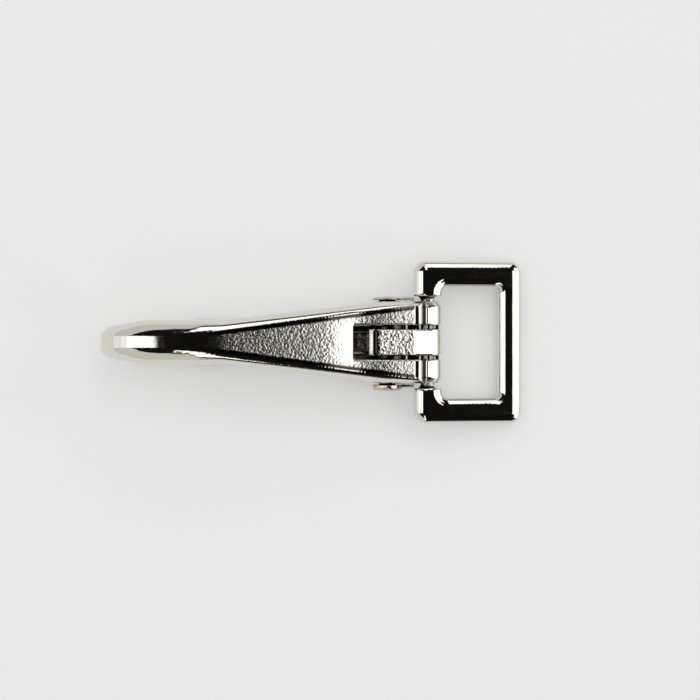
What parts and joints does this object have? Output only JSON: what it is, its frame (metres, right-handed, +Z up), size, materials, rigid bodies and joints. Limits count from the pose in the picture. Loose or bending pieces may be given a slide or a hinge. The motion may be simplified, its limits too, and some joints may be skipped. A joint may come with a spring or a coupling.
{
  "type": "snap hook with strap loop",
  "caption": "Cast snap hook with a sprung gate that closes its eye and a hinged rectangular loop that takes a strap.",
  "frame": {"origin": "on the table, under the middle of the hook's bounding box as it lies", "axes": "+X from the bend towards the strap loop, +Y across the hook along the rivet and loop axes, +Z up from the table through the spine"},
  "size_m": [0.0776, 0.03, 0.0188],
  "materials": {
    "body_nickel": "polished nickel plate on a zinc casting, with a cast orange-peel texture on the panel",
    "loop_nickel": "polished nickel plate on a zinc casting",
    "gate_nickel": "polished nickel plate on a zinc casting",
    "rivet_steel": "nickel-plated steel, bare brown inside the rolled end",
    "spring_steel": "drawn spring wire"
  },
  "bodies": {
    "hook": {"hook_body": "body_nickel", "gate_rivet": "rivet_steel", "gate_spring": "spring_steel"},
    "gate": {"gate": "gate_nickel"},
    "strap_loop": {"strap_loop": "loop_nickel"}
  },
  "joints": [
    {"name": "gate_pivot", "type": "hinge", "parent": "hook", "child": "gate", "pos_m": [0.01382, 0, 0.0043], "axis": [0, 1, 0], "range_deg": [0, 12.5], "stiffness_Nm_per_rad": 0.12, "springref_deg": -14.32, "deforming": ["gate_spring"]},
    {"name": "loop_hinge", "type": "hinge", "parent": "hook", "child": "strap_loop", "pos_m": [0.02132, 0, 0.0052], "axis": [0, 1, 0], "range_deg": [-155, 132]}
  ]
}
